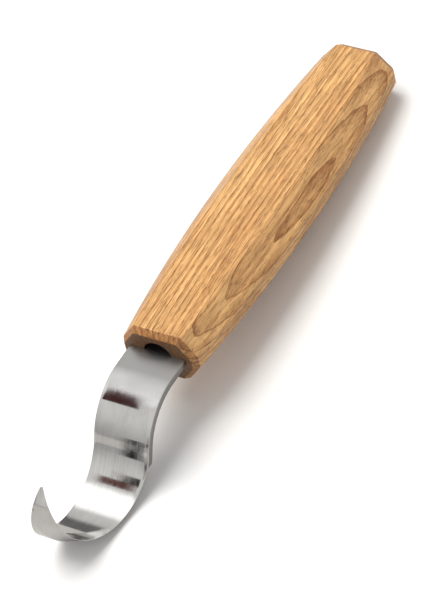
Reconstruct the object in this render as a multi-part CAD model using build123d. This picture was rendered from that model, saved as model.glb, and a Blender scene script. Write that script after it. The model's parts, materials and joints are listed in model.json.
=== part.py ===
from build123d import *
import math
import os

# Hook knife for spoon carving: a bent steel blade glued into an ash handle.
# The model is drawn with the handle's axis along X, its front face at X = 0 and the
# butt at +X. At the end it is tilted and moved to lie on its hook and its butt.

# --- handle, a barrel in plan with an eight-sided section ---
handle_length = 113.0
handle_thickness = 14.8          # between the two flats, which stay parallel
width_front = 22.0               # full width at the front, the middle and the butt
width_middle = 28.4
width_butt = 21.8
flat_front = 13.8                # width of the top and bottom flats at the same places
flat_middle = 17.4
flat_butt = 11.6
side_height = 3.6                # narrow upright facet along each side
ridge_radius = 0.7               # softening of the eight long ridges
front_chamfer_length = 1.8
front_chamfer_inset = 1.2
butt_chamfer_length = 2.2
butt_chamfer_inset = 1.6
handle_sections = 7              # sections that the barrel is drawn through
planing_allowance = 0.05         # taken off both flats at the end, so that they are true planes

# --- bore for the tang ---
bore_diameter = 8.0
bore_depth = 47.0
bore_lift = 0.5                  # the bore lies this far above the handle's middle
bore_point_angle = 118.0         # drill point at the bottom of the bore

# --- blade, one flat strip bent on edge-parallel lines ---
blade_width = 16.0
blade_thickness = 1.8
neck_straight = 7.1              # straight run in front of the handle
neck_inside_radius = 14.8
neck_angle = 66.7
flank_straight = 1.7
hook_inside_radius = 16.0
hook_angle = 105.9
tip_inside_radius = 14.5
tip_angle = 87.0

# --- tang, a narrow tail of the strip inside the bore ---
tang_clearance = 0.3             # between the tang's corners and the bore's wall
tang_end_gap = 5.0               # between the tang's end and the end of the bore's wall
tang_end_chamfer = 1.5

# --- outline and grind of the hook, measured along the strip from the handle ---
choil_distance = 29.5            # where the sharpened edge starts
spine_curve_start = 54.4         # where the back starts to curve in to the point
point_offset = 3.8               # the point's distance from the middle line, on the back's side
edge_lead_in = 0.35              # how directly the edge leaves the strip's side, 0 to 1
bevel_width = 5.5                # full width of the outside bevel
bevel_start_width = 2.4          # width of the bevel at the choil
bevel_run = 9.0                  # distance over which it reaches its full width
edge_land = 0.15                 # steel left at the cutting edge
point_width = 0.5
point_thickness = 0.6
thinning_length = 16.0           # the strip thins towards the point over this length
strip_sections = 26              # sections that each half of the strip is drawn through

# --- glue ---
glue_setback = 3.0               # the glue stops this far inside the bore's mouth


def through_three(front, middle, butt, t):
    """Smooth value along the handle, t running from 0 at the front to 1 at the butt."""
    return front * (2 * t - 1) * (t - 1) + middle * 4 * t * (1 - t) + butt * t * (2 * t - 1)


def handle_section(x, inset=0.0):
    """Eight-sided section at x, with every side moved in by inset."""
    body_length = handle_length - front_chamfer_length - butt_chamfer_length
    t = (x - front_chamfer_length) / body_length
    t = min(max(t, 0.0), 1.0)
    half_width = through_three(width_front, width_middle, width_butt, t) / 2
    half_flat = through_three(flat_front, flat_middle, flat_butt, t) / 2
    half_height = handle_thickness / 2 + planing_allowance
    half_side = side_height / 2
    # the slanted side, moved in along its own normal
    run = half_width - half_flat
    drop = half_height - half_side
    slant = math.hypot(run, drop)
    reach = (drop * half_flat + run * half_height) / slant - inset
    top = half_height - inset
    side = half_width - inset
    flat = (reach * slant - run * top) / drop
    shoulder = (reach * slant - drop * side) / run
    corners = [
        (flat, top), (side, shoulder), (side, -shoulder), (flat, -top),
        (-flat, -top), (-side, -shoulder), (-side, shoulder), (-flat, top),
    ]
    plane = Plane(origin=(x, 0, 0), x_dir=(0, 1, 0), z_dir=(1, 0, 0))
    outline = make_face(Polyline(*corners, close=True))
    outline = fillet(outline.vertices(), ridge_radius)
    return plane * outline


def make_bore(start, depth, diameter):
    """Round bore along X from start, with a drill point beyond its depth."""
    point = diameter / 2 / math.tan(math.radians(bore_point_angle / 2))
    straight = Cylinder(diameter / 2, depth - start, align=(Align.CENTER, Align.CENTER, Align.MIN))
    cone = Cone(diameter / 2, 0, point, align=(Align.CENTER, Align.CENTER, Align.MIN))
    bore = straight + Pos(0, 0, depth - start) * cone
    return Pos(start, 0, bore_lift) * Rot(0, 90, 0) * bore


def make_handle():
    """Barrel-shaped handle with chamfered ends and a blind bore for the tang."""
    front = front_chamfer_length
    back = handle_length - butt_chamfer_length
    steps = [front + (back - front) * i / (handle_sections - 1) for i in range(handle_sections)]
    barrel = loft([handle_section(x) for x in steps])
    nose = loft([handle_section(0, front_chamfer_inset), handle_section(front)], ruled=True)
    butt = loft([handle_section(back), handle_section(handle_length, butt_chamfer_inset)], ruled=True)
    board = Pos(handle_length / 2, 0, 0) * Box(handle_length, 2 * width_middle, handle_thickness)
    return (barrel + nose + butt) & board - make_bore(0, bore_depth, bore_diameter)


def strip_path():
    """Middle line of the bent strip, from the handle's front face to the point."""
    half = blade_thickness / 2
    neck = Line((0, bore_lift), (-neck_straight, bore_lift))
    bend = JernArc(neck @ 1, neck % 1, neck_inside_radius + half, neck_angle)
    flank = Line(bend @ 1, bend @ 1 + (bend % 1) * flank_straight)
    hook = JernArc(flank @ 1, flank % 1, hook_inside_radius + half, -hook_angle)
    tip = JernArc(hook @ 1, hook % 1, tip_inside_radius + half, -tip_angle)
    return [neck, bend, flank, hook, tip]


def strip_length():
    """Length of the strip's middle line."""
    return sum(edge.length for edge in strip_path())


def strip_frame(distance):
    """Plane across the strip at a distance along it, its X across and its Y to the inside."""
    edges = strip_path()
    left = distance
    for edge in edges:
        if left <= edge.length or edge is edges[-1]:
            break
        left -= edge.length
    share = min(left / edge.length, 1.0)
    place = edge @ share
    heading = edge % share
    return Plane(origin=(place.X, 0, place.Y), x_dir=(0, -1, 0), z_dir=(heading.X, 0, heading.Y))


def hook_outline(distance):
    """Positions across the strip of its edge and its back, the edge on the negative side."""
    half = blade_width / 2
    total = strip_length()
    along = (distance - choil_distance) / (total - choil_distance)
    sweep_in = edge_lead_in * along + (1 - edge_lead_in) * along**2
    edge_side = -half + (half + point_offset - point_width) * sweep_in
    back = max(0.0, (distance - spine_curve_start) / (total - spine_curve_start))
    back_side = half - (half - point_offset) * back**2
    return edge_side, back_side


def hook_section(distance):
    """Section of the sharpened part: flat inside, bevelled outside along the edge."""
    edge_side, back_side = hook_outline(distance)
    inside = blade_thickness / 2
    thinning = max(0.0, 1 - (strip_length() - distance) / thinning_length)
    outside = -inside + (blade_thickness - point_thickness) * thinning**2
    grown = min(1.0, (distance - choil_distance) / bevel_run)
    bevel = bevel_start_width + (bevel_width - bevel_start_width) * math.sin(grown * math.pi / 2)
    bevel = min(bevel, 0.8 * (back_side - edge_side))
    corners = [
        (edge_side, inside), (back_side, inside), (back_side, outside),
        (edge_side + bevel, outside), (edge_side, inside - edge_land),
    ]
    return strip_frame(distance) * make_face(Polyline(*[(-y, n) for y, n in corners], close=True))


def make_tang():
    """Flat tail that fits the bore across its corners, with a chamfered end."""
    reach = bore_diameter / 2 - tang_clearance
    width = 2 * math.sqrt(reach**2 - (blade_thickness / 2) ** 2)
    tail = Box(
        bore_depth - tang_end_gap, width, blade_thickness,
        align=(Align.MIN, Align.CENTER, Align.CENTER),
    )
    end_edges = tail.edges().filter_by(Axis.Z).group_by(Axis.X)[-1]
    return Pos(0, 0, bore_lift) * chamfer(end_edges, tang_end_chamfer)


def make_blade():
    """One piece of steel: tang, bent strip and sharpened hook."""
    step = choil_distance / strip_sections
    bars = [strip_frame(step * i) * Rectangle(blade_width, blade_thickness) for i in range(strip_sections + 1)]
    step = (strip_length() - choil_distance) / strip_sections
    slices = [hook_section(choil_distance + step * i) for i in range(strip_sections + 1)]
    return loft(bars) + loft(slices) + make_tang()


def make_glue(steel):
    """Glue that fills the bore round the tang, stopping short of the mouth."""
    return make_bore(glue_setback, bore_depth, bore_diameter) - steel


def lying_pose(parts):
    """Tilt and move the knife so that it lies on its hook and the butt's lower edge."""
    hook = strip_path()[3]
    centre = hook.arc_center
    radius = hook_inside_radius + blade_thickness
    butt_x = handle_length - butt_chamfer_length
    butt_z = -handle_thickness / 2
    distance = math.hypot(butt_x - centre.X, butt_z - centre.Y)
    slope = math.atan2(butt_z - centre.Y, butt_x - centre.X)
    tilt = slope + math.asin(radius / distance)
    turned = [Rot(0, math.degrees(tilt), 0) * part for part in parts]
    box = Compound(turned).bounding_box()
    middle = (box.min.X + box.max.X) / 2
    return [Pos(-middle, 0, -box.min.Z) * part for part in turned]


blade = make_blade()
handle = make_handle()
glue = make_glue(blade)
names = ["handle", "blade", "glue"]
os.makedirs("parts", exist_ok=True)
for name, shape in zip(names, lying_pose([handle, blade, glue])):
    export_step(shape, f"parts/{name}.step")
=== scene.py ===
import json
import math

import bmesh
import bpy
from mathutils import Matrix, Vector, noise


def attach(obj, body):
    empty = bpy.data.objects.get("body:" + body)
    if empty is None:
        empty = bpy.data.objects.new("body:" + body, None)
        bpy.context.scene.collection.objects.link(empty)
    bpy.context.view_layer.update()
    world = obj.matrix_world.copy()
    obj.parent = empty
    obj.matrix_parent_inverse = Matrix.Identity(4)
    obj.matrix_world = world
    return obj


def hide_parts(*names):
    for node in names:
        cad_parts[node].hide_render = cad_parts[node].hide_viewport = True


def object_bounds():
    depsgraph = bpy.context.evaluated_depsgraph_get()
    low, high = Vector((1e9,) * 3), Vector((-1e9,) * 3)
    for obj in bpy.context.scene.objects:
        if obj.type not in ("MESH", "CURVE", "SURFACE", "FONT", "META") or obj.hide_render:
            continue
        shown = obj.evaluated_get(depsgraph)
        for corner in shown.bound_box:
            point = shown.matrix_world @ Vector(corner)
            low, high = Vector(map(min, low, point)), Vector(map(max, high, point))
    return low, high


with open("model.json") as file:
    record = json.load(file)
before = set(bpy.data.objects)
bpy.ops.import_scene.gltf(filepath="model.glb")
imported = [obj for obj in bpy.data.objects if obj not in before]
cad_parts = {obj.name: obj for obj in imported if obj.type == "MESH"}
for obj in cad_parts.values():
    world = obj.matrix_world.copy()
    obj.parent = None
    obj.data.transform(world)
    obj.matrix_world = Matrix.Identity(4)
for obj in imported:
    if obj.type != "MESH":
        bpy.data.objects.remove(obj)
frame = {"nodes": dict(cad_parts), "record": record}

cadBox = [list(corner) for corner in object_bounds()]
mm = 0.001
sliver = 0.02 * mm                                  # stands for nothing where a width may not be zero
scene = bpy.context.scene
print("frame loaded, box", cadBox)

handleSize = {
    "length": 113.0 * mm,
    "thickness": 14.8 * mm,
    "widths": (22.0 * mm, 28.4 * mm, 21.8 * mm),    # front, middle, butt
    "flats": (13.8 * mm, 17.4 * mm, 11.6 * mm),
    "sideHeight": 3.6 * mm,
    "ridgeRadius": 0.9 * mm,
    "frontChamfer": (1.8 * mm, 1.2 * mm),           # along the handle, and inwards
    "buttChamfer": (2.2 * mm, 1.6 * mm),
    "chamferSoftness": 0.22 * mm,
    "boreRadius": 4.0 * mm,
    "boreDepth": 47.0 * mm,
    "boreLift": 0.5 * mm,
    "boreFlare": 0.004,                             # share by which the bore widens inside its mouth
    "boreRings": (0.15 * mm, 1 * mm, 3 * mm, 8 * mm, 20 * mm),
    "handWork": 0.09 * mm,                          # unevenness left by the spokeshave
    "slowDents": (45, 110, 110),                    # dents in a metre, along and across the handle
    "fineDents": (160, 420, 420),
    "rings": 110,                                   # sections along the barrel
    "ridgeSteps": 5,                                # points round each ridge, and along each side
    "sideSteps": (18, 9, 5, 9, 18, 9, 5, 9),
}

# the handle's own axes, taken from its flat underside in the record
underside = frame["record"]["mounts"][0]
down = Vector(underside["axis"]).normalized()
along = Vector((-down.z, 0, down.x))                # from the hook towards the butt
middle = Vector(underside["pos_m"]) - down * handleSize["thickness"] / 2
front = middle - along * handleSize["length"] / 2
toFrame = Matrix.Translation(front) @ Matrix((along, (0, 1, 0), -down)).transposed().to_4x4()


# Small helpers for meshes

def addPiece(name, mesh, slotName, *replaced):
    piece = bpy.data.objects.new(name, mesh)
    scene.collection.objects.link(piece)
    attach(piece, "root")
    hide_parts(*replaced)
    return piece


def skin(name, rings, stock):
    # rings of equal length, joined one to the next, the first and last closed
    # stock holds the same points in the material's own axes
    bm = bmesh.new()
    stockLayer = bm.verts.layers.float_vector.new("stock")
    loops = []
    for ring, stockRing in zip(rings, stock):
        loop = []
        for point, stockPoint in zip(ring, stockRing):
            vert = bm.verts.new(point)
            vert[stockLayer] = stockPoint
            loop.append(vert)
        loops.append(loop)
    for first, second in zip(loops, loops[1:]):
        for i in range(len(first)):
            j = (i + 1) % len(first)
            bm.faces.new((first[i], first[j], second[j], second[i]))
    bm.faces.new(loops[0][::-1])
    bm.faces.new(loops[-1])
    bmesh.ops.recalc_face_normals(bm, faces=bm.faces)
    mesh = bpy.data.meshes.new(name)
    bm.to_mesh(mesh)
    bm.free()
    mesh.polygons.foreach_set("use_smooth", [True] * len(mesh.polygons))
    return mesh


def between(values, t):
    # smooth value through all three, t running from 0 to 1
    first, second, third = values
    return first * (2 * t - 1) * (t - 1) + second * 4 * t * (1 - t) + third * t * (2 * t - 1)


def roundedPolygon(corners, radii, arcSteps, sideSteps):
    # same number of points whatever the sizes, so that sections can be joined
    count = len(corners)
    largestCut = 0.45                               # of a side's length
    arcs = []
    for i, corner in enumerate(corners):
        toLast = corners[i - 1] - corner
        toNext = corners[(i + 1) % count] - corner
        halfTurn = (math.pi - toLast.angle(toNext)) / 2
        cut = min(radii[i] * math.tan(halfTurn), largestCut * toLast.length, largestCut * toNext.length)
        arcs.append((corner + toLast.normalized() * cut, corner, corner + toNext.normalized() * cut))
    points = []
    for i, (start, corner, end) in enumerate(arcs):
        for step in range(arcSteps + 1):
            t = step / arcSteps
            points.append(start * (1 - t) ** 2 + corner * 2 * t * (1 - t) + end * t ** 2)
        following = arcs[(i + 1) % count][0]
        for step in range(1, sideSteps[i]):
            points.append(end.lerp(following, step / sideSteps[i]))
    return points


def shadeEvenly(piece):
    weighted = piece.modifiers.new("evenShading", "WEIGHTED_NORMAL")
    weighted.weight = 60


# Handle: a barrel with eight sides, softened ridges and cut chamfers

def handleOutline(x, inset):
    size = handleSize
    bodyStart = size["frontChamfer"][0]
    bodyEnd = size["length"] - size["buttChamfer"][0]
    t = min(max((x - bodyStart) / (bodyEnd - bodyStart), 0), 1)
    halfWidth = between(size["widths"], t) / 2
    halfFlat = between(size["flats"], t) / 2
    halfHeight = size["thickness"] / 2
    halfSide = size["sideHeight"] / 2
    run, drop = halfWidth - halfFlat, halfHeight - halfSide
    slant = math.hypot(run, drop)
    reach = (drop * halfFlat + run * halfHeight) / slant - inset
    top, side = halfHeight - inset, halfWidth - inset
    flat = (reach * slant - run * top) / drop
    shoulder = (reach * slant - drop * side) / run
    corners = [Vector((flat, top)), Vector((-flat, top)),
               Vector((-side, shoulder)), Vector((-side, -shoulder)),
               Vector((-flat, -top)), Vector((flat, -top)),
               Vector((side, -shoulder)), Vector((side, shoulder))]
    radii = [size["ridgeRadius"]] * len(corners)
    return roundedPolygon(corners, radii, size["ridgeSteps"], size["sideSteps"])


def chamferSteps(length, inset, softness):
    # distance from the end and inset, from the flat end face to the full section, soft at both ends
    steps = [(0, inset + softness), (0.15 * softness, inset + 0.35 * softness)]
    for t in (0.1, 0.3, 0.5, 0.7, 0.9):
        steps.append((length * t, inset * (1 - t)))
    steps.append((length + 0.2 * softness, 0.12 * softness))
    steps.append((length + softness, 0))
    return steps


def dents(point, perMetre, shift=0):
    x, y, z = (place * rate for place, rate in zip(point, perMetre))
    return noise.noise(Vector((x, y, z + shift)))


def handUneven(point):
    # only inwards, so that the piece stays inside its solid
    slow = dents(point, handleSize["slowDents"])
    fine = dents(point, handleSize["fineDents"], 7)
    return handleSize["handWork"] * (0.5 + 0.38 * slow + 0.12 * fine)


def handleBody():
    # rings from the front end face to the butt's
    size = handleSize
    frontSteps = chamferSteps(*size["frontChamfer"], size["chamferSoftness"])
    buttSteps = chamferSteps(*size["buttChamfer"], size["chamferSoftness"])
    bodyStart, bodyEnd = frontSteps[-1][0], size["length"] - buttSteps[-1][0]
    sections = list(frontSteps)
    for i in range(1, size["rings"]):
        sections.append((bodyStart + (bodyEnd - bodyStart) * i / size["rings"], 0))
    sections += [(size["length"] - x, inset) for x, inset in reversed(buttSteps)]
    rings = []
    for x, inset in sections:
        ring = []
        for y, z in handleOutline(x, inset):
            outward = Vector((0, y, z)).normalized()
            point = Vector((x, y, z))
            ring.append(point - outward * handUneven(point))
        rings.append(ring)
    return rings


def makeHandle():
    size = handleSize
    body = handleBody()
    # front face: from the outline in to the mouth of the bore, then down the bore
    lift = Vector((0, 0, size["boreLift"]))
    mouth = []
    for point in body[0]:
        away = (Vector((0, point.y, point.z)) - lift).normalized()
        mouth.append(lift + away * size["boreRadius"])
    frontRings = []
    for t in (0.25, 0.5, 0.75, 0.93, 1):
        frontRings.append([outer.lerp(inner, t) for outer, inner in zip(body[0], mouth)])
    for depth in (*size["boreRings"], size["boreDepth"]):
        flare = 1 + size["boreFlare"] * min(depth / mm, 1)
        frontRings.append([Vector((depth, 0, 0)) + lift + (point - lift) * flare for point in mouth])
    # butt face closes towards its middle
    centre = Vector((size["length"], 0, 0))
    buttRings = []
    for t in (0.2, 0.45, 0.7, 0.9):
        buttRings.append([outer.lerp(centre, t) for outer in body[-1]])
    stock = frontRings[::-1] + body + buttRings
    placed = [[toFrame @ point for point in ring] for ring in stock]
    handle = addPiece("ashHandle", skin("ashHandle", placed, stock), "ash_wood", "handle")
    shadeEvenly(handle)
    return handle


handle = makeHandle()
print("handle made")


# Blade: one strip, bent in plain arcs, ground on the outside along one edge

bladeSize = {
    "width": 16.0 * mm,
    "thickness": 1.8 * mm,
    "neck": 7.1 * mm,
    "neckBend": (14.8 * mm, 66.7),                  # inside radius and degrees
    "flank": 1.7 * mm,
    "hookBend": (16.0 * mm, 105.9),
    "tipBend": (14.5 * mm, 87.0),
    "choil": 29.5 * mm,                             # distances along the strip, from the handle
    "choilPlunge": 1.6 * mm,                        # over which the bevel sets in
    "backCurve": 54.4 * mm,
    "pointOffset": 3.8 * mm,
    "edgeLeadIn": 0.35,
    "bevel": (2.4 * mm, 5.5 * mm, 9.0 * mm),        # at the choil, in full, and the run between
    "edgeLand": 0.12 * mm,
    "pointWidth": 0.5 * mm,
    "pointThickness": 0.55 * mm,
    "thinning": 16.0 * mm,
    "edgeRound": 0.16 * mm,
    "tangWidth": 7.17 * mm,
    "tangLength": 42.0 * mm,
    "tangRound": 0.1 * mm,
    "rings": 330,                                   # sections along the strip
    "choilRings": (17, 0.1 * mm),                   # extra ones at the choil, and their spacing
    "roundSteps": 3,                                # points round each edge, and along each side
    "sideSteps": (14, 3, 12, 10, 2),
}


def stripRuns():
    # length and bend of each run, a bend being one over its radius and positive upwards
    half = bladeSize["thickness"] / 2
    runs = []
    for name, way in (("neck", 0), ("neckBend", -1), ("flank", 0), ("hookBend", 1), ("tipBend", 1)):
        if way == 0:
            runs.append((bladeSize[name], 0))
        else:
            inner, degrees = bladeSize[name]
            radius = inner + half
            runs.append((radius * math.radians(degrees), way / radius))
    return runs


def onStrip(distance):
    # place on the strip's middle line and its slope there, upwards being positive
    x, z, slope = 0, handleSize["boreLift"], 0
    for length, bend in stripRuns():
        step = min(distance, length)
        if bend:
            x -= (math.sin(slope + bend * step) - math.sin(slope)) / bend
            z -= (math.cos(slope + bend * step) - math.cos(slope)) / bend
            slope += bend * step
        else:
            x -= step * math.cos(slope)
            z += step * math.sin(slope)
        distance -= step
        if distance <= 0:
            break
    if distance > 0:
        x -= distance * math.cos(slope)
        z += distance * math.sin(slope)
    return x, z, slope


def eased(t):
    t = min(max(t, 0), 1)
    return t * t * (3 - 2 * t)


def stripCorners(distance, total):
    # edge, back and bevel of the section, its depth being positive on the inside
    size = bladeSize
    half = size["width"] / 2
    inside = size["thickness"] / 2
    edge, back, outside = -half, half, -inside
    bevel, land = sliver, size["thickness"] - sliver
    if distance > size["choil"]:
        run = (distance - size["choil"]) / (total - size["choil"])
        sweepIn = size["edgeLeadIn"] * run + (1 - size["edgeLeadIn"]) * run ** 2
        edge += (half + size["pointOffset"] - size["pointWidth"]) * sweepIn
        behind = max(0, (distance - size["backCurve"]) / (total - size["backCurve"]))
        back -= (half - size["pointOffset"]) * behind ** 2
        thinned = max(0, 1 - (total - distance) / size["thinning"])
        outside += (size["thickness"] - size["pointThickness"]) * thinned ** 2
        narrow, wide, reach = size["bevel"]
        ground = distance - size["choil"]
        plunge = eased(ground / size["choilPlunge"])
        bevel = narrow + (wide - narrow) * math.sin(min(1, ground / reach) * math.pi / 2)
        bevel = max(sliver, min(bevel * plunge, 0.8 * (back - edge)))
        fullLand = inside - outside - sliver
        land = fullLand + (size["edgeLand"] - fullLand) * plunge
    return [Vector((edge, inside)), Vector((back, inside)), Vector((back, outside)),
            Vector((edge + bevel, outside)), Vector((edge, inside - land))]


def makeBlade():
    size = bladeSize
    total = sum(length for length, bend in stripRuns())
    count = size["rings"]
    extra, spacing = size["choilRings"]
    distances = [total * i / count for i in range(count + 1)]
    distances += [size["choil"] + i * spacing for i in range(1, extra + 1)]
    rings, stock = [], []

    def addRing(distance, corners, rounding, place):
        x, z, slope = place
        inward = Vector((math.sin(slope), 0, math.cos(slope)))
        # the bevel's heel is rounded more, and the cutting edge less
        radii = [rounding, rounding, rounding, rounding * 2, rounding * 0.4]
        outline = roundedPolygon(corners, radii, size["roundSteps"], size["sideSteps"])
        rings.append([toFrame @ (Vector((x, y, z)) + inward * depth) for y, depth in outline])
        stock.append([Vector((distance, y, depth)) for y, depth in outline])

    inside = size["thickness"] / 2
    tang = size["tangWidth"] / 2
    tangCorners = [Vector((-tang, inside)), Vector((tang, inside)), Vector((tang, -inside)),
                   Vector((-tang + sliver, -inside)), Vector((-tang, -inside + sliver))]
    for back in (size["tangLength"], size["tangLength"] * 0.5, 3 * mm, sliver):
        addRing(-back, tangCorners, size["tangRound"], (back, handleSize["boreLift"], 0))
    for distance in sorted(distances):
        corners = stripCorners(distance, total)
        thin = (corners[0].y - corners[4].y) / size["thickness"]
        addRing(distance, corners, size["edgeRound"] * min(1, 0.25 + thin), onStrip(distance))
    blade = addPiece("hookBlade", skin("hookBlade", rings, stock), "blade_steel", "blade")
    shadeEvenly(blade)
    return blade


blade = makeBlade()
print("blade made")


# Shader helpers

def newGroup(name, inputs, outputs):
    group = bpy.data.node_groups.new(name, "ShaderNodeTree")
    for label, kind, value in inputs:
        socket = group.interface.new_socket(label, in_out="INPUT", socket_type="NodeSocket" + kind)
        if value is not None:
            socket.default_value = value
    for label, kind in outputs:
        group.interface.new_socket(label, in_out="OUTPUT", socket_type="NodeSocket" + kind)
    return group, group.nodes.new("NodeGroupInput"), group.nodes.new("NodeGroupOutput")


def put(tree, target, value):
    # a number or colour goes on the socket, anything else is linked
    if isinstance(value, bpy.types.NodeSocket):
        tree.links.new(value, target)
    else:
        target.default_value = value


def maths(tree, operation, *values, clamp=False):
    node = tree.nodes.new("ShaderNodeMath")
    node.operation = operation
    node.use_clamp = clamp
    for i, value in enumerate(values):
        put(tree, node.inputs[i], value)
    return node.outputs[0]


def remap(tree, value, low, high, newLow=0.0, newHigh=1.0, smooth=False):
    node = tree.nodes.new("ShaderNodeMapRange")
    node.interpolation_type = "SMOOTHSTEP" if smooth else "LINEAR"
    for i, given in enumerate((value, low, high, newLow, newHigh)):
        put(tree, node.inputs[i], given)
    return node.outputs[0]


def mixed(tree, amount, first, second, blend="MIX"):
    node = tree.nodes.new("ShaderNodeMix")
    node.data_type = "RGBA"
    node.blend_type = blend
    put(tree, node.inputs["Factor"], amount)
    put(tree, node.inputs["A"], first)
    put(tree, node.inputs["B"], second)
    return node.outputs["Result"]


def stretched(tree, position, scale, offset=(0, 0, 0)):
    node = tree.nodes.new("ShaderNodeMapping")
    put(tree, node.inputs["Vector"], position)
    node.inputs["Scale"].default_value = scale
    node.inputs["Location"].default_value = offset
    return node.outputs[0]


def cloudy(tree, position, scale=1.0, detail=2.0, roughness=0.5, distortion=0.0):
    node = tree.nodes.new("ShaderNodeTexNoise")
    put(tree, node.inputs["Vector"], position)
    node.inputs["Scale"].default_value = scale
    node.inputs["Detail"].default_value = detail
    node.inputs["Roughness"].default_value = roughness
    node.inputs["Distortion"].default_value = distortion
    return node.outputs["Fac"]


def stockPosition(tree):
    node = tree.nodes.new("ShaderNodeAttribute")
    node.attribute_name = "stock"
    return node.outputs["Vector"]


# Growth rings of ring-porous wood, seen on a stick cut from the outside of a bowed trunk

ashGrowth = {
    "outwards": (0, -0.7071, 0.7071),               # the way the tree grew
    "sideways": (0, 0.7071, 0.7071),
    "crown": 0.067,                                 # where along the handle the rings rise highest
    "ridge": (0.8, 0.0058),                         # the swelling's own bow, and its place to the side
    "ridgeWidth": 0.0075,
    "slowDrift": (22, 70, 70),                      # patterns in a metre, along and across the grain
    "quickDrift": (130, 700, 700),
    "strength": (45, 420, 420),
    "tone": (18, 90, 90),
    "flecks": (120, 640, 640),
    "fibres": (32, 1500, 1500),
    "vessels": (330, 5200, 5200),
}


def makeAshGroup():
    tree, given, out = newGroup("ashFigure", [
        ("Position", "Vector", None), ("Ring Width", "Float", 0.0012), ("Ring Shift", "Float", 0.0),
        ("Sweep", "Float", 0.35), ("Swell", "Float", 0.0016), ("Wander", "Float", 0.0006),
        ("Late Wood", "Color", (0.8, 0.6, 0.4, 1)), ("Early Wood", "Color", (0.5, 0.3, 0.15, 1)),
        ("Pore", "Color", (0.2, 0.1, 0.05, 1)), ("Pore Amount", "Float", 0.6)],
        [("Color", "Color"), ("Pores", "Float"), ("Rings", "Float")])
    growth = ashGrowth
    given = given.outputs
    pos = given["Position"]
    split = tree.nodes.new("ShaderNodeSeparateXYZ")
    put(tree, split.inputs[0], pos)

    def across(direction):
        dot = tree.nodes.new("ShaderNodeVectorMath")
        dot.operation = "DOT_PRODUCT"
        put(tree, dot.inputs[0], pos)
        dot.inputs[1].default_value = direction
        return dot.outputs["Value"]

    # each ring is a sheet, bowed along the handle and swollen under one slanted side
    outwards, sideways = across(growth["outwards"]), across(growth["sideways"])
    fromCrown = maths(tree, "SUBTRACT", split.outputs[0], growth["crown"])
    bow = maths(tree, "MULTIPLY", fromCrown, fromCrown)
    ridge = maths(tree, "SUBTRACT", maths(tree, "MULTIPLY", bow, growth["ridge"][0]), growth["ridge"][1])
    offRidge = maths(tree, "ABSOLUTE", maths(tree, "SUBTRACT", sideways, ridge))
    swell = remap(tree, offRidge, 0.0, growth["ridgeWidth"], 1.0, 0.0, smooth=True)
    swell = maths(tree, "MULTIPLY", swell, given["Swell"])
    age = maths(tree, "SUBTRACT", outwards, maths(tree, "MULTIPLY", bow, given["Sweep"]))
    age = maths(tree, "ADD", age, swell)
    slow = maths(tree, "SUBTRACT", cloudy(tree, stretched(tree, pos, growth["slowDrift"]), detail=1.5), 0.5)
    quick = maths(tree, "SUBTRACT", cloudy(tree, stretched(tree, pos, growth["quickDrift"]), detail=2), 0.5)
    age = maths(tree, "ADD", age, maths(tree, "MULTIPLY", slow, given["Wander"]))
    lesser = maths(tree, "MULTIPLY", given["Wander"], 0.6)
    age = maths(tree, "ADD", age, maths(tree, "MULTIPLY", quick, lesser))
    rings = maths(tree, "DIVIDE", maths(tree, "ADD", age, given["Ring Shift"]), given["Ring Width"])
    part = maths(tree, "FRACT", rings)
    # each year differs in strength
    year = tree.nodes.new("ShaderNodeTexWhiteNoise")
    year.noise_dimensions = "1D"
    put(tree, year.inputs["W"], maths(tree, "FLOOR", rings))
    # sharp start of the porous early wood, slow fade into the dense late wood
    onset = remap(tree, part, 0.0, 0.025, smooth=True)
    dark = remap(tree, part, 0.05, 0.17, 0.6, 0.0, smooth=True)
    fade = remap(tree, part, 0.1, 0.8, 0.5, 0.0, smooth=True)
    early = maths(tree, "MULTIPLY", onset, maths(tree, "ADD", dark, fade))
    strength = cloudy(tree, stretched(tree, pos, growth["strength"]), detail=2)
    strength = remap(tree, strength, 0.3, 0.7, 0.6, 1.0)
    strength = maths(tree, "MULTIPLY", strength, remap(tree, year.outputs["Value"], 0.0, 1.0, 0.7, 1.0))
    early = maths(tree, "MULTIPLY", early, strength)
    colour = mixed(tree, early, given["Late Wood"], given["Early Wood"])
    # broad drift of tone along the handle, flecks of light, and fine fibres
    drift = cloudy(tree, stretched(tree, pos, growth["tone"], (3, 1, 2)), detail=2)
    colour = mixed(tree, remap(tree, drift, 0.35, 0.7, 0.0, 0.3), colour, given["Early Wood"])
    flecks = stretched(tree, pos, growth["flecks"], (2, 6, 1))
    flecks = cloudy(tree, flecks, detail=3, roughness=0.55, distortion=0.3)
    colour = mixed(tree, 1.0, colour, remap(tree, flecks, 0.35, 0.65, 0.86, 1.2), "MULTIPLY")
    fibres = cloudy(tree, stretched(tree, pos, growth["fibres"]), detail=4, roughness=0.72)
    colour = mixed(tree, remap(tree, fibres, 0.44, 0.66, 0.0, 0.8), colour, given["Early Wood"])
    # vessels, long dashes along the grain and dots on the ends, crowded in the early wood
    dashes = cloudy(tree, stretched(tree, pos, growth["vessels"], (5, 9, 4)), detail=1.2)
    crowd = remap(tree, early, 0.0, 1.0, 0.62, 0.47)
    pores = remap(tree, maths(tree, "SUBTRACT", dashes, crowd), 0.0, 0.06, smooth=True)
    colour = mixed(tree, maths(tree, "MULTIPLY", pores, given["Pore Amount"]), colour, given["Pore"])
    put(tree, out.inputs["Color"], colour)
    put(tree, out.inputs["Pores"], pores)
    put(tree, out.inputs["Rings"], early)
    return tree


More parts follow.
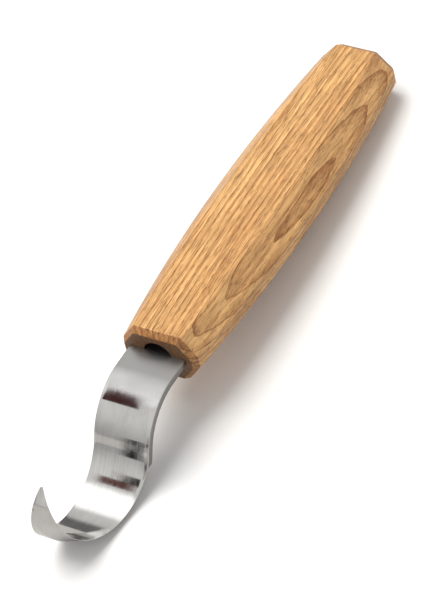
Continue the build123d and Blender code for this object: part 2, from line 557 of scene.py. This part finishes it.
def makeSheenGroup():
    # uneven sheen left by hands, oil and polishing
    tree, given, out = newGroup("unevenSheen", [
        ("Position", "Vector", None), ("Low", "Float", 0.3), ("High", "Float", 0.5),
        ("Patch Size", "Float", 0.01)],
        [("Roughness", "Float"), ("Mask", "Float")])
    given = given.outputs
    scaled = tree.nodes.new("ShaderNodeVectorMath")
    scaled.operation = "SCALE"
    put(tree, scaled.inputs[0], given["Position"])
    put(tree, scaled.inputs["Scale"], maths(tree, "DIVIDE", 1.0, given["Patch Size"]))
    patches = cloudy(tree, scaled.outputs[0], 1.0, detail=4, roughness=0.6, distortion=0.4)
    mask = remap(tree, patches, 0.32, 0.68, smooth=True)
    put(tree, out.inputs["Mask"], mask)
    put(tree, out.inputs["Roughness"], remap(tree, mask, 0.0, 1.0, given["Low"], given["High"]))
    return tree


ashFigure = makeAshGroup()
unevenSheen = makeSheenGroup()


def newMaterial(name):
    material = bpy.data.materials.new(name)
    material.use_nodes = True
    tree = material.node_tree
    return material, tree, tree.nodes["Principled BSDF"]


def useGroup(tree, group, **values):
    node = tree.nodes.new("ShaderNodeGroup")
    node.node_tree = group
    for label, value in values.items():
        put(tree, node.inputs[label.replace("_", " ")], value)
    return node.outputs


def bumped(tree, height, distance, strength=1.0, below=None):
    node = tree.nodes.new("ShaderNodeBump")
    put(tree, node.inputs["Height"], height)
    node.inputs["Distance"].default_value = distance
    node.inputs["Strength"].default_value = strength
    if below is not None:
        put(tree, node.inputs["Normal"], below)
    return node.outputs[0]


# Oiled ash

ashLook = {
    "ringWidth": 1.25 * mm,
    "ringShift": -0.16 * mm,
    "sweep": 0.36,                                  # how much the rings bow along the handle, 1/m
    "swell": 1.6 * mm,
    "wander": 0.5 * mm,
    "lateWood": (0.65, 0.385, 0.152, 1),
    "earlyWood": (0.29, 0.108, 0.026, 1),
    "pore": (0.13, 0.048, 0.015, 1),
    "sheen": (0.32, 0.47),                          # roughness, least and most
    "sheenPatches": 12 * mm,
    "poreRoughness": 0.25,
    "side": {"tint": (1, 1, 1), "pores": 0.6, "relief": 0.06 * mm},
    "chamfer": {"tint": (0.60, 0.50, 0.42), "pores": 0.75, "relief": 0.16 * mm},
    "endGrain": {"tint": (0.30, 0.255, 0.22), "pores": 0.75, "relief": 0.16 * mm},
    # painted shade: the bore's wall darkened almost to black, as shade falls deep in the hole
    "bore": {"tint": (0.05, 0.04, 0.035), "pores": 0.75, "relief": 0.16 * mm},
}


def makeAsh(name, place):
    # open end grain drinks the oil and turns darker; the bore's near-black tint is painted shade deep in
    # the hole
    material, tree, shader = newMaterial(name)
    look, own = ashLook, ashLook[place]
    tint = (*own["tint"], 1)
    kinds = ("lateWood", "earlyWood", "pore")
    late, early, pore = [[c * t for c, t in zip(look[kind], tint)] for kind in kinds]
    position = stockPosition(tree)
    figure = useGroup(tree, ashFigure, Position=position, Ring_Width=look["ringWidth"],
                      Ring_Shift=look["ringShift"], Sweep=look["sweep"], Swell=look["swell"],
                      Wander=look["wander"], Late_Wood=late, Early_Wood=early, Pore=pore,
                      Pore_Amount=own["pores"])
    low, high = look["sheen"]
    sheen = useGroup(tree, unevenSheen, Position=position, Low=low, High=high,
                     Patch_Size=look["sheenPatches"])
    put(tree, shader.inputs["Base Color"], figure["Color"])
    inPores = maths(tree, "MULTIPLY", figure["Pores"], look["poreRoughness"])
    put(tree, shader.inputs["Roughness"], maths(tree, "ADD", sheen["Roughness"], inPores, clamp=True))
    depth = maths(tree, "ADD", figure["Pores"], maths(tree, "MULTIPLY", figure["Rings"], 0.35))
    height = maths(tree, "MULTIPLY", depth, -1.0)
    put(tree, shader.inputs["Normal"], bumped(tree, height, own["relief"], 0.7))
    return material


ashSide = makeAsh("oiledAsh", "side")
ashChamfer = makeAsh("oiledAshChamfer", "chamfer")
ashEnd = makeAsh("oiledAshEndGrain", "endGrain")
boreWall = makeAsh("paintedShadeBoreWall", "bore")


# Ground steel

steelLook = {
    "polished": (0.63, 0.625, 0.61, 1),
    "satin": (0.37, 0.366, 0.36, 1),
    "dull": (0.38, 0.375, 0.36, 1),
    # colour of the cut sides: partly a duller finish, partly painted shade
    "side": (0.27, 0.265, 0.26, 1),
    "sideStarts": 7.93 * mm,                        # from the middle of the strip
    "sideFades": 0.05 * mm,
    "polishedRoughness": (0.06, 0.13),
    "satinRoughness": 0.24,                         # on top of the polished one
    "satinEnds": (11 * mm, 17 * mm),                # from the handle, where it gives way to polish
    "sheenPatches": 6 * mm,
    "stainPatches": 9 * mm,
    "stain": 0.35,
    "lineStain": 0.5,
    # how far the cut sides take that colour, partly dulling and partly painted shade
    "sideDullingAndShade": 0.85,
    "lines": (45, 6250, 900),                       # grinding lines in a metre, along and across the strip
    "scratches": (260, 2600, 700),
    "waves": (210, 260, 200),
    "waveDepth": 0.005 * mm,
    "lineDepth": 0.005 * mm,
    "scratchDepth": 0.001 * mm,
    "scratchRoughness": 0.08,
}


def makeSteel():
    material, tree, shader = newMaterial("groundSteel")
    look = steelLook
    position = stockPosition(tree)
    split = tree.nodes.new("ShaderNodeSeparateXYZ")
    put(tree, split.inputs[0], position)
    polish = remap(tree, split.outputs[0], *look["satinEnds"], smooth=True)
    lines = cloudy(tree, stretched(tree, position, look["lines"]), detail=3, roughness=0.7)
    scratches = stretched(tree, position, look["scratches"], (1, 4, 2))
    scratches = cloudy(tree, scratches, detail=4, roughness=0.75, distortion=0.6)
    waves = cloudy(tree, stretched(tree, position, look["waves"], (4, 2, 2)), detail=1.5)
    low, high = look["polishedRoughness"]
    sheen = useGroup(tree, unevenSheen, Position=position, Low=low, High=high,
                     Patch_Size=look["sheenPatches"])
    elsewhere = stretched(tree, position, (1, 1, 1), (0.3, 0.1, 0.2))
    stain = useGroup(tree, unevenSheen, Position=elsewhere, Low=0.0, High=1.0,
                     Patch_Size=look["stainPatches"])
    colour = mixed(tree, polish, look["satin"], look["polished"])
    colour = mixed(tree, maths(tree, "MULTIPLY", stain["Mask"], look["stain"]), colour, look["dull"])
    lined = maths(tree, "MULTIPLY", remap(tree, lines, 0.45, 0.75, 0.0, look["lineStain"]), polish)
    colour = mixed(tree, lined, colour, look["dull"])
    # the cut sides of the strip are darker than its faces: partly a duller finish, partly painted shade
    # standing in for the shadowed floor they reflect
    fromMiddle = maths(tree, "ABSOLUTE", split.outputs[1])
    side = remap(tree, fromMiddle, look["sideStarts"], look["sideStarts"] + look["sideFades"])
    colour = mixed(tree, maths(tree, "MULTIPLY", side, look["sideDullingAndShade"]), colour, look["side"])
    put(tree, shader.inputs["Base Color"], colour)
    shader.inputs["Metallic"].default_value = 1.0
    rough = remap(tree, polish, 0.0, 1.0, look["satinRoughness"], 0.0)
    rough = maths(tree, "ADD", sheen["Roughness"], rough)
    scratched = remap(tree, scratches, 0.5, 0.7, 0.0, look["scratchRoughness"])
    put(tree, shader.inputs["Roughness"], maths(tree, "ADD", rough, scratched))
    normal = bumped(tree, waves, look["waveDepth"], 0.4)
    normal = bumped(tree, maths(tree, "MULTIPLY", lines, polish), look["lineDepth"], 0.5, normal)
    normal = bumped(tree, scratches, look["scratchDepth"], 0.4, normal)
    put(tree, shader.inputs["Normal"], normal)
    return material


steel = makeSteel()


# Cured glue

glueLook = {
    "thin": (0.018, 0.013, 0.009, 1),
    "thick": (0.055, 0.038, 0.022, 1),
    "sheen": (0.25, 0.6),
    "patches": 3 * mm,
    "relief": 0.2 * mm,
}


def makeGlueLook():
    material, tree, shader = newMaterial("curedGlue")
    look = glueLook
    coords = tree.nodes.new("ShaderNodeTexCoord").outputs["Object"]
    low, high = look["sheen"]
    sheen = useGroup(tree, unevenSheen, Position=coords, Low=low, High=high, Patch_Size=look["patches"])
    put(tree, shader.inputs["Base Color"], mixed(tree, sheen["Mask"], look["thin"], look["thick"]))
    put(tree, shader.inputs["Roughness"], sheen["Roughness"])
    put(tree, shader.inputs["Normal"], bumped(tree, sheen["Mask"], look["relief"], 0.6))
    return material


def dressHandle(piece):
    # the materials in this order: sides, chamfers, end faces, bore
    mesh = piece.data
    for material in (ashSide, ashChamfer, ashEnd, boreWall):
        mesh.materials.append(material)
    size = handleSize
    length = size["length"]
    frontChamfer, buttChamfer = size["frontChamfer"][0], size["buttChamfer"][0]
    flatDepth = frontChamfer * 0.05
    mostOf = 0.98
    stock = [item.vector.copy() for item in mesh.attributes["stock"].data]
    for face in mesh.polygons:
        points = [stock[v] for v in face.vertices]
        nearest, furthest = min(p.x for p in points), max(p.x for p in points)
        offAxis = max(math.hypot(p.y, p.z) for p in points)
        inHole = offAxis < size["boreRadius"] * 1.2 and nearest < size["boreDepth"]
        if inHole and furthest > 0.1 * mm:
            face.material_index = 3
        elif furthest < flatDepth or nearest > length - flatDepth:
            face.material_index = 2
        elif furthest < frontChamfer * mostOf or nearest > length - buttChamfer * mostOf:
            face.material_index = 1
        else:
            face.material_index = 0


dressHandle(handle)
blade.data.materials.append(steel)
glue = frame["nodes"]["glue"]
glue.data.materials.clear()
glue.data.materials.append(makeGlueLook())
print("materials made")


# Floor, light and camera

floorLook = {
    "size": 6.0,
    "below": 0.05 * mm,                             # under the knife's lowest point
    "colour": (0.86, 0.855, 0.845, 1),
    "shade": (0.82, 0.815, 0.80, 1),
    "reflected": (0.54, 0.525, 0.51, 1),            # how polished surfaces see it
    "cloudScale": 9.0,
    "roughness": 0.75,
}


def makeFloor():
    look = floorLook
    bm = bmesh.new()
    bmesh.ops.create_grid(bm, x_segments=12, y_segments=12, size=look["size"])
    mesh = bpy.data.meshes.new("floor")
    bm.to_mesh(mesh)
    bm.free()
    floor = bpy.data.objects.new("floor", mesh)
    floor.location.z = cadBox[0][2] - look["below"]
    scene.collection.objects.link(floor)
    material, tree, shader = newMaterial("paleFloor")
    coords = tree.nodes.new("ShaderNodeTexCoord").outputs["Object"]
    clouds = cloudy(tree, coords, look["cloudScale"], detail=3)
    colour = mixed(tree, remap(tree, clouds, 0.3, 0.7), look["colour"], look["shade"])
    path = tree.nodes.new("ShaderNodeLightPath")
    colour = mixed(tree, path.outputs["Is Glossy Ray"], colour, look["reflected"])
    put(tree, shader.inputs["Base Color"], colour)
    shader.inputs["Roughness"].default_value = look["roughness"]
    shader.inputs["Specular IOR Level"].default_value = 0.2
    floor.data.materials.append(material)


def towards(azimuth, elevation):
    # azimuth 0 is +Y and 90 is -X, elevation is above the floor
    a, e = math.radians(azimuth), math.radians(elevation)
    return Vector((-math.sin(a) * math.cos(e), math.cos(a) * math.cos(e), math.sin(e)))


def addSoftbox(name, azimuth, elevation, distance, size, power, colour):
    light = bpy.data.lights.new(name, "AREA")
    light.shape = "RECTANGLE"
    light.size, light.size_y = size
    light.energy = power
    light.color = colour
    holder = bpy.data.objects.new(name, light)
    holder.location = towards(azimuth, elevation) * distance
    holder.rotation_euler = (-holder.location).to_track_quat("-Z", "Y").to_euler()
    holder.visible_glossy = False                   # the room carries its reflection
    scene.collection.objects.link(holder)


studio = {
    "key": dict(azimuth=-13, elevation=69, distance=1.4, size=(1.05, 1.05), power=23.5,
                colour=(1.0, 0.985, 0.965)),
    "room": (0.63, 0.63, 0.635, 1),                 # what lights the matt surfaces
    "lowWalls": (0.56, 0.555, 0.545, 1),            # what the polished ones reflect
    "highWalls": (0.93, 0.925, 0.91, 1),
    "wallsBrighten": 0.75,                          # sine of the elevation where they are brightest
    # lighter and darker panels on the walls; degrees that are full, and where each has faded away
    "panels": [
        dict(azimuth=-19, elevation=60, full=14, end=27, colour=(2.0, 2.0, 2.0, 1)),
        dict(azimuth=-61, elevation=10, full=8, end=18, colour=(0.2, 0.2, 0.2, 1)),
        dict(azimuth=106, elevation=12, full=14, end=32, colour=(0.84, 0.83, 0.81, 1)),
    ],
    # cards that only reflections see, like a lens and a hand near the table: the spot on the blade that
    # sees the card (its x and z, and y from and to, in mm), then for both ends of the card the degrees
    # from upright and the distance in mm
    "cards": [
        dict(spot=(-53, 10), width=(-5.6, 0.5), ends=((80, 100), (95, 100)), colour=(0.015, 0.015, 0.013)),
        dict(spot=(-44, 19), width=(-3, 9), ends=((1.1, 67.5), (39.4, 9.0)), colour=(0.08, 0.032, 0.032)),
        dict(spot=(-60, 4), width=(-5, 6), ends=((22, 36), (33, 75)), colour=(0.11, 0.045, 0.04)),
        dict(spot=(-58, 4.5), width=(-9.5, -1), ends=((33.7, 49), (46, 104)), colour=(0.03, 0.027, 0.026)),
    ],
    "cardsLean": 0.4455,                            # how far towards +Y the blade's reflected views lean
    "cardsFade": (0.86, 0.94),                      # turned edge-on by this much they become clear
}


def makeRoom():
    world = bpy.data.worlds.new("studio")
    scene.world = world
    world.use_nodes = True
    tree = world.node_tree
    background = tree.nodes["Background"]
    direction = tree.nodes.new("ShaderNodeTexCoord").outputs["Generated"]
    height = tree.nodes.new("ShaderNodeSeparateXYZ")
    put(tree, height.inputs[0], direction)
    rise = remap(tree, height.outputs[2], 0.0, studio["wallsBrighten"], smooth=True)
    colour = mixed(tree, rise, studio["lowWalls"], studio["highWalls"])
    for panel in studio["panels"]:
        dot = tree.nodes.new("ShaderNodeVectorMath")
        dot.operation = "DOT_PRODUCT"
        put(tree, dot.inputs[0], direction)
        dot.inputs[1].default_value = towards(panel["azimuth"], panel["elevation"])
        end, full = math.cos(math.radians(panel["end"])), math.cos(math.radians(panel["full"]))
        amount = remap(tree, dot.outputs["Value"], end, full, smooth=True)
        colour = mixed(tree, amount, colour, panel["colour"])
    path = tree.nodes.new("ShaderNodeLightPath")
    colour = mixed(tree, path.outputs["Is Glossy Ray"], studio["room"], colour)
    colour = mixed(tree, path.outputs["Is Camera Ray"], colour, (1, 1, 1, 1))
    put(tree, background.inputs["Color"], colour)


def cardCorners(spot, width, ends):
    x, z = spot
    lean = studio["cardsLean"]
    corners = []
    for degrees, distance in ends:
        tilt, flatDistance = math.radians(degrees), distance * math.sqrt(1 - lean ** 2)
        across, up = x - math.sin(tilt) * flatDistance, z + math.cos(tilt) * flatDistance
        for y in (width if not corners else width[::-1]):
            corners.append(Vector((across, y + lean * distance, up)) * mm)
    return corners


def makeCard(name, spot, width, ends, colour):
    mesh = bpy.data.meshes.new(name)
    mesh.from_pydata(cardCorners(spot, width, ends), [], [(0, 1, 2, 3)])
    card = bpy.data.objects.new(name, mesh)
    card.visible_camera = card.visible_diffuse = card.visible_shadow = False
    scene.collection.objects.link(card)
    material, tree, shader = newMaterial(name)
    coords = tree.nodes.new("ShaderNodeTexCoord").outputs["Object"]
    lighter = [c * 1.5 for c in colour]
    shade = mixed(tree, cloudy(tree, coords, 60.0), (*colour, 1), (*lighter, 1))
    put(tree, shader.inputs["Base Color"], shade)
    shader.inputs["Roughness"].default_value = 0.9
    shader.inputs["Specular IOR Level"].default_value = 0.0
    # the side turned away from the blade is clear
    face = mesh.polygons[0]
    toBlade = Vector((spot[0], 0, spot[1])) * mm - face.center
    front, reverse = (1.0, 0.0) if face.normal.dot(toBlade) > 0 else (0.0, 1.0)
    back = tree.nodes.new("ShaderNodeNewGeometry").outputs["Backfacing"]
    grazing = tree.nodes.new("ShaderNodeLayerWeight").outputs["Facing"]
    side = remap(tree, back, 0.0, 1.0, front, reverse)
    fade = remap(tree, grazing, *studio["cardsFade"], 1.0, 0.0)
    put(tree, shader.inputs["Alpha"], maths(tree, "MULTIPLY", side, fade))
    mesh.materials.append(material)


viewpoint = {
    "azimuth": 47.52,
    "elevation": 48.72,
    "roll": 19.18,
    "distance": 0.8898,
    "lens": 210,
    "sensor": 36,
    "aim": (-0.0036, -0.0009, -0.0029),             # from the middle of the knife's box
}


def makeCamera():
    data = bpy.data.cameras.new("camera")
    data.lens = viewpoint["lens"]
    data.sensor_fit = "AUTO"
    data.sensor_width = viewpoint["sensor"]
    data.clip_end = 20
    camera = bpy.data.objects.new("camera", data)
    scene.collection.objects.link(camera)
    low, high = Vector(cadBox[0]), Vector(cadBox[1])
    target = (low + high) / 2 + Vector(viewpoint["aim"])
    a, e = math.radians(viewpoint["azimuth"]), math.radians(viewpoint["elevation"])
    look = Vector((math.sin(a) * math.cos(e), math.cos(a) * math.cos(e), -math.sin(e)))
    facing = look.to_track_quat("-Z", "Y").to_matrix().to_4x4()
    roll = Matrix.Rotation(-math.radians(viewpoint["roll"]), 4, "Z")
    camera.matrix_world = Matrix.Translation(target - look * viewpoint["distance"]) @ facing @ roll
    scene.camera = camera


makeFloor()
addSoftbox("keyLight", **studio["key"])
makeRoom()
for number, card in enumerate(studio["cards"]):
    makeCard(f"card{number}", **card)
makeCamera()
scene.view_settings.view_transform = "Standard"
print("studio made")
